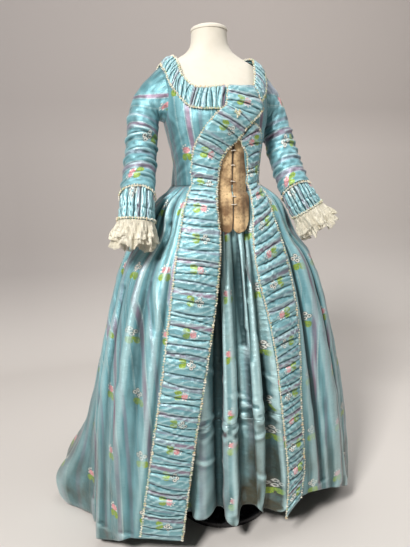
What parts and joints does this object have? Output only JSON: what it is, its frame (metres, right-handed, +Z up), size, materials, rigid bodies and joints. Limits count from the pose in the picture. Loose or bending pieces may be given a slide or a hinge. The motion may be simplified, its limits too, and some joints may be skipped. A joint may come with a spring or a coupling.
{
  "type": "robe a la francaise on a limbless dress form with a round stand",
  "caption": "Open silk gown with a box-pleated sack back and train, worn over a matching petticoat: pleated robings, gathered neckline, elbow sleeves with lace ruffles, on a dress form.",
  "frame": {"origin": "middle of the underside of the stand's round foot, on the floor", "axes": "+Z up, -Y the way the wearer faces, +X the wearer's left"},
  "size_m": [0.9714, 0.9528, 1.5085],
  "materials": {
    "blue_silk": "crisp turquoise taffeta with narrow mauve stripes and small woven bouquets, soft sheen",
    "tan_linen": "plain unbleached linen, matt",
    "ivory_lace": "fine cotton lace, matt",
    "hook_metal": "dull pale metal",
    "ivory_cover": "smooth ivory cover of the dress form, matt",
    "black_metal": "glossy black enamel"
  },
  "bodies": {
    "root": {"form_torso": "ivory_cover", "form_neck_cap": "ivory_cover", "form_pole": "black_metal", "form_base": "black_metal", "petticoat_waistband": "blue_silk", "petticoat_front_upper": "blue_silk", "petticoat_front_lower": "blue_silk", "petticoat_side_right": "blue_silk", "petticoat_side_left": "blue_silk", "petticoat_back": "blue_silk", "bodice_front_right": "blue_silk", "bodice_front_left": "blue_silk", "shoulder_strap_right": "blue_silk", "shoulder_strap_left": "blue_silk", "bodice_back_right": "blue_silk", "bodice_back_left": "blue_silk", "skirt_front_right": "blue_silk", "skirt_front_left": "blue_silk", "skirt_side_right": "blue_silk", "skirt_side_left": "blue_silk", "sack_back": "blue_silk", "robing_right": "blue_silk", "robing_left": "blue_silk", "neck_ruche_right": "blue_silk", "neck_ruche_left": "blue_silk", "sleeve_upper_outer_right": "blue_silk", "sleeve_upper_outer_left": "blue_silk", "sleeve_upper_under_right": "blue_silk", "sleeve_upper_under_left": "blue_silk", "sleeve_lower_outer_right": "blue_silk", "sleeve_lower_outer_left": "blue_silk", "sleeve_lower_under_right": "blue_silk", "sleeve_lower_under_left": "blue_silk", "cuff_right": "blue_silk", "cuff_left": "blue_silk", "lace_upper_right": "ivory_lace", "lace_upper_left": "ivory_lace", "lace_lower_right": "ivory_lace", "lace_lower_left": "ivory_lace", "lining_front_right": "tan_linen", "lining_front_left": "tan_linen", "hook_1": "hook_metal", "hook_2": "hook_metal", "hook_3": "hook_metal", "hook_4": "hook_metal", "hook_5": "hook_metal"}
  },
  "joints": []
}
